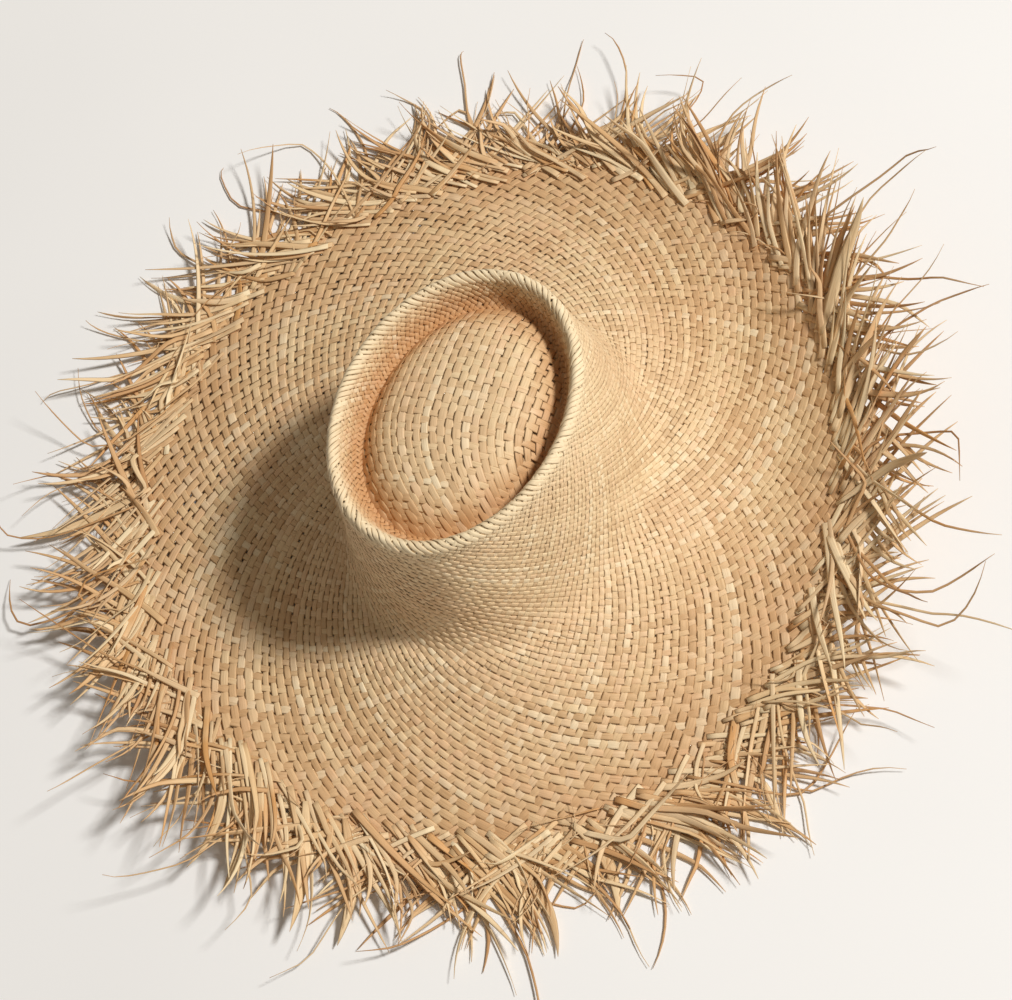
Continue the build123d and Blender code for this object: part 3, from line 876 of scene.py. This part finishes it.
def ribbon_material():
    """Grosgrain ribbon: worn patches, a soft sheen and darker edges; its ribs are modelled."""
    n = Nodes("grosgrain_ribbon")
    uv = n.add("ShaderNodeUVMap", uv_map="strand").outputs[0]
    split = n.add("ShaderNodeSeparateXYZ")
    n.link(uv, split.inputs[0])
    place = n.add("ShaderNodeTexCoord").outputs["Object"]
    mottle = n.noise(place, 240.0, 3)
    tone = n.ramp(mottle, ((0.3, srgb(84, 62, 42)), (0.7, srgb(112, 85, 60))))
    wear = n.noise(place, 25.0, 2)
    tone = n.mix(n.value(wear, "MULTIPLY", 0.25), tone, srgb(140, 112, 82))
    edge = n.ramp(split.outputs[1], ((0, grey(0.6)), (0.06, grey(1)), (0.94, grey(1)), (1, grey(0.6))))
    n.link(n.mix(1.0, tone, edge, "MULTIPLY"), n.shader.inputs["Base Color"])
    n.shader.inputs["Roughness"].default_value = 0.62
    n.shader.inputs["Sheen Weight"].default_value = 0.25
    n.bump(n.noise(place, 1600.0, 2), 0.4, 0.1 * MM)
    return n.material


def thread_material():
    """Waxed sewing thread, paler than the ribbon."""
    n = Nodes("sewing_thread")
    place = n.add("ShaderNodeTexCoord").outputs["Object"]
    tone = n.ramp(n.noise(place, 900.0, 2), ((0.3, srgb(150, 122, 88)), (0.7, srgb(196, 168, 128))))
    n.link(tone, n.shader.inputs["Base Color"])
    n.shader.inputs["Roughness"].default_value = 0.5
    n.bump(n.noise(place, 2400.0, 1), 0.5, 0.1 * MM)
    return n.material


RIBBON = ribbon_material()
THREAD = thread_material()

# ---------------------------------------------------------------- sweatband

BAND_GAP = 0.5 * MM  # between the wall's inside and the ribbon
BAND_THICKNESS = 0.75 * MM
BAND_FULL_WIDTH = 0.028  # the ribbon's plain width, which its layout and its ease run over
BAND_TURN = 6.283  # radians that its layout counts as one round
BAND_EASE = 0.25 * MM  # how far the ribbon stands off in places
RIB_PITCH = 0.95 * MM
RIB_HEIGHT = 0.16 * MM
STEPS_PER_RIB = 4
STITCHES = 72
STITCH_LENGTH = 4.2 * MM
STITCH_DEPTH = 1.35 * MM  # of the thread's middle, from the wall's gap
STITCH_DIP = 0.6 * MM  # how far its ends sink into the ribbon
THREAD_RADIUS = 0.33 * MM
THREAD_TWIST = 7  # radians over one stitch
STITCH_Z = band_low[2] + 3 * MM


def wall_inside(height):
    """Offset of the crown wall's inner side from the shoulder's oval."""
    lower = CROWN_STATIONS > SHOULDER_STATION
    offsets, heights = CROWN_LINE[lower, 0][::-1], CROWN_LINE[lower, 1][::-1]
    slope = np.gradient(offsets, heights)
    offset = np.interp(height, heights, offsets)
    steepness = np.interp(height, heights, slope)
    return offset - WEAVE / 2 * np.sqrt(1 + steepness**2)


def grid_mesh(name, points, uvs, material, closed_u, closed_v):
    """A smooth quad mesh over a grid of points (rows, columns, 3)."""
    rows, columns = points.shape[:2]
    index = np.arange(rows * columns).reshape(rows, columns)
    first = np.arange(rows if closed_u else rows - 1)
    second = np.arange(columns if closed_v else columns - 1)
    r, c = np.meshgrid(first, second, indexing="ij")
    r_next, c_next = (r + 1) % rows, (c + 1) % columns
    faces = np.stack([index[r, c], index[r, c_next], index[r_next, c_next], index[r_next, c]], -1)
    mesh = bpy.data.meshes.new(name)
    mesh.from_pydata(points.reshape(-1, 3).tolist(), [], faces.reshape(-1, 4).tolist())
    layer = mesh.uv_layers.new(name="strand")
    loops = np.zeros(len(mesh.loops), np.int32)
    mesh.loops.foreach_get("vertex_index", loops)
    layer.data.foreach_set("uv", uvs.reshape(-1, 2)[loops].ravel())
    mesh.polygons.foreach_set("use_smooth", np.ones(len(mesh.polygons), bool))
    mesh.materials.append(material)
    return bpy.data.objects.new(name, mesh)


def ribbon_section(width, thickness, flat_points):
    """Closed outline of a ribbon's section: (across, out), both faces and rounded edges."""
    across = np.linspace(-0.5, 0.5, flat_points)
    fullness = np.sqrt(np.clip(1 - (2 * np.abs(across)) ** 14, 0.02, 1))
    face = np.stack([across * width, fullness * thickness / 2], axis=1)
    return np.concatenate([face, face[::-1] * (1, -1)])


def sweatband():
    """Ribbed ribbon around the inside of the head opening."""
    band_width = band_high[2] - band_low[2]
    foot = wall_inside(band_low[2])
    around = 2 * np.pi * np.sqrt(((SHOULDER_X + foot) ** 2 + (SHOULDER_Y + foot) ** 2) / 2)
    ribs = int(around / RIB_PITCH)
    azimuth = np.linspace(0, 2 * np.pi, ribs * STEPS_PER_RIB, endpoint=False)[:, None]
    section = ribbon_section(band_width, BAND_THICKNESS, 8)
    height = (band_high[2] + band_low[2]) / 2 + section[:, 0] * 0.995
    place = section[:, 0] / BAND_FULL_WIDTH + 0.5  # across the ribbon, from 0 to 1
    rib = RIB_HEIGHT * np.cos(azimuth * ribs) * np.sign(section[:, 1])[None] / 2
    ease = BAND_EASE * np.sin(azimuth * 9 + 1) * place[None]
    offset = wall_inside(height) - BAND_GAP - 0.5 * MM + section[:, 1] + rib - np.abs(ease)
    radius = oval_radius(offset, azimuth)
    points = np.stack(
        [radius * np.cos(azimuth), radius * np.sin(azimuth), height + 0 * radius], -1
    )
    along = azimuth * around / BAND_TURN
    uvs = np.stack([along + 0 * radius, place + 0 * radius], -1)
    band = grid_mesh("sweatband_ribbon", points, uvs, RIBBON, True, True)
    finish_piece(band, ["sweatband"])


def stitching():
    """A running stitch of twisted thread along the ribbon's lower edge."""
    rings, sides = 14, 10
    share = np.linspace(0, 1, rings)
    offset = wall_inside(STITCH_Z) - BAND_GAP - STITCH_DEPTH
    all_points, all_faces = [], []
    for index in range(STITCHES):
        azimuth = 2 * np.pi * (index + 0.5) / STITCHES
        radius = oval_radius(offset, azimuth)
        middle = np.array([radius * math.cos(azimuth), radius * math.sin(azimuth), STITCH_Z])
        ahead = unit(np.array([-(SHOULDER_X + offset) * math.sin(azimuth),
                               (SHOULDER_Y + offset) * math.cos(azimuth), 0]))
        outward = np.cross(ahead, (0, 0, 1))
        line = middle + np.outer((share - 0.5) * STITCH_LENGTH, ahead)
        line = line + np.outer(np.abs(2 * share - 1) ** 3 * STITCH_DIP, outward)
        plain = np.linspace(0, 2 * np.pi, sides, endpoint=False)[None] + 0 * share[:, None]
        turn_by = plain + share[:, None] * THREAD_TWIST
        thick = THREAD_RADIUS * (1 - 0.18 * np.cos(2 * plain))
        thick = thick * np.sqrt(np.clip(1 - (2 * np.abs(share - 0.5)) ** 8, 0.06, 1))[:, None]
        ring = line[:, None] + (np.cos(turn_by) * thick)[..., None] * outward
        ring = ring + (np.sin(turn_by) * thick)[..., None] * np.array([0, 0, 1.0])
        base = index * rings * sides
        grid = np.arange(rings * sides).reshape(rings, sides) + base
        after = np.roll(grid, -1, axis=1)
        faces = np.stack([grid[:-1], after[:-1], after[1:], grid[1:]], -1).reshape(-1, 4)
        all_points.append(ring.reshape(-1, 3))
        all_faces += faces.tolist() + [grid[0][::-1].tolist(), grid[-1].tolist()]
    mesh = bpy.data.meshes.new("sweatband_thread")
    mesh.from_pydata(np.concatenate(all_points).tolist(), [], all_faces)
    mesh.polygons.foreach_set("use_smooth", np.ones(len(mesh.polygons), bool))
    mesh.materials.append(THREAD)
    thread = bpy.data.objects.new("sweatband_thread", mesh)
    finish_piece(thread, ["sweatband_stitching"])


def bow_tab():
    """A flat ribbon bow over the sweatband's joint: a looped strip pinched at its middle."""
    low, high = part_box("sweatband_bow_tab")
    middle = (np.array(low) + np.array(high)) / 2
    half_height, half_width = (high[2] - low[2]) / 2, (high[0] - low[0]) / 2
    turn_by = np.linspace(0, 2 * np.pi, 96, endpoint=False)
    along = np.cos(turn_by) * half_height * 0.98
    puff = np.sin(turn_by) * 0.9 * MM
    pinch = 0.45 + 0.55 * np.clip(np.abs(along) / (half_height * 0.45), 0, 1) ** 1.5
    across = np.linspace(-1, 1, 25)
    folds = np.cos(across * np.pi * 3.5)[None] * (1 - pinch)[:, None] * 0.8 * MM
    x = middle[0] + across[None] * half_width * 0.97 * pinch[:, None]
    z = middle[2] + along[:, None] + 0 * x
    slant = wall_inside(z) - wall_inside(middle[2])
    y = middle[1] + 0.6 * MM - slant + (puff * pinch)[:, None] + folds
    points = np.stack([x, y, z], -1)
    uvs = np.stack([turn_by[:, None] * 0.01 + 0 * x, (across[None] + 1) / 2 + 0 * x], -1)
    tab = grid_mesh("sweatband_bow", points, uvs, RIBBON, True, False)
    solidify = tab.modifiers.new("thickness", "SOLIDIFY")
    solidify.thickness = 0.35 * MM
    solidify.offset = 0
    finish_piece(tab, ["sweatband_bow_tab"])


# ---------------------------------------------------------------- stage, lights, camera

FLOOR_HALF = 6


def stage():
    """A plain pale floor."""
    n = Nodes("studio_floor")
    place = n.add("ShaderNodeTexCoord").outputs["Object"]
    tone = n.ramp(n.noise(place, 3.0, 2), ((0.3, (0.9, 0.9, 0.9)), (0.7, (0.93, 0.93, 0.93))))
    n.link(tone, n.shader.inputs["Base Color"])
    n.shader.inputs["Roughness"].default_value = 0.9
    n.shader.inputs["Specular IOR Level"].default_value = 0.1
    mesh = bpy.data.meshes.new("floor")
    corners = [(FLOOR_HALF * x, FLOOR_HALF * y, 0) for x, y in ((-1, -1), (1, -1), (1, 1), (-1, 1))]
    mesh.from_pydata(corners, [], [(0, 1, 2, 3)])
    mesh.materials.append(n.material)
    floor = bpy.data.objects.new("floor", mesh)
    floor.location.z = min(0.0, CAD_BOX[0][2])
    bpy.context.scene.collection.objects.link(floor)


FILL_STRENGTH = 0.205
FILL_COLOUR = (1.0, 0.88, 0.74)
LIGHTS = (  # name, azimuth, elevation, distance, size, power, colour
    ("key", 29, 49, 6.0, 0.9, 355, (1.0, 0.985, 0.955)),
)


def direction(azimuth, elevation):
    """The way from the hat toward a light; angles in degrees."""
    azimuth, elevation = math.radians(azimuth), math.radians(elevation)
    return Vector((
        math.cos(azimuth) * math.cos(elevation), math.sin(azimuth) * math.cos(elevation),
        math.sin(elevation),
    ))


def lights():
    """One soft key light, and a warm fill from all around."""
    scene = bpy.context.scene
    scene.view_settings.view_transform = "Standard"
    world = bpy.data.worlds.new("soft_studio")
    world.use_nodes = True
    background = world.node_tree.nodes["Background"]
    background.inputs["Color"].default_value = (*FILL_COLOUR, 1)
    background.inputs["Strength"].default_value = FILL_STRENGTH
    scene.world = world
    for name, azimuth, elevation, distance, size, power, colour in LIGHTS:
        light = bpy.data.lights.new(name, "AREA")
        light.shape = "DISK"
        light.size = size
        light.energy = power
        light.color = colour
        holder = bpy.data.objects.new(name, light)
        holder.location = direction(azimuth, elevation) * distance
        holder.rotation_euler = direction(azimuth, elevation).to_track_quat("Z", "Y").to_euler()
        scene.collection.objects.link(holder)


CAMERA_AZIMUTH = math.radians(53)
CAMERA_ELEVATION = math.radians(62)
CAMERA_ROLL = math.radians(32)
CAMERA_DISTANCE = 1.7
CAMERA_LENS = 104
AIM = Vector((0, 0, 0.045))  # the crown's base
AIM_RIGHT, AIM_UP = 6.4 * MM, -14.5 * MM  # the view's middle, from AIM


def camera():
    """A long lens above the hat's side, rolled so that the oval crown stands aslant."""
    data = bpy.data.cameras.new("camera")
    data.lens = CAMERA_LENS
    data.sensor_width = 36
    data.clip_end = 20
    back = Vector((
        math.sin(CAMERA_AZIMUTH) * math.cos(CAMERA_ELEVATION),
        -math.cos(CAMERA_AZIMUTH) * math.cos(CAMERA_ELEVATION),
        math.sin(CAMERA_ELEVATION),
    ))
    level = Vector((0, 0, 1)).cross(back).normalized()
    upright = back.cross(level)
    right = level * math.cos(CAMERA_ROLL) - upright * math.sin(CAMERA_ROLL)
    up = upright * math.cos(CAMERA_ROLL) + level * math.sin(CAMERA_ROLL)
    place = AIM + right * AIM_RIGHT + up * AIM_UP + back * CAMERA_DISTANCE
    holder = bpy.data.objects.new("camera", data)
    turned = Matrix((right, up, back)).transposed().to_4x4()
    holder.matrix_world = Matrix.Translation(place) @ turned
    bpy.context.scene.collection.objects.link(holder)
    bpy.context.scene.camera = holder


camera()
weave_zone("rim_weave", 0, SHOULDER_STATION, "crown_rim", STEPS_PER_CROSSING + 1, 2)
weave_zone("wall_weave", SHOULDER_STATION, CROWN_LENGTH, "crown_wall", STEPS_PER_CROSSING - 1, 2)
weave_zone("brim_weave", CROWN_LENGTH, EDGE, "brim", STEPS_PER_CROSSING, 4)
weave_dome()
for number in range(TUFTS):
    tuft(number)
sweatband()
stitching()
bow_tab()
stage()
lights()
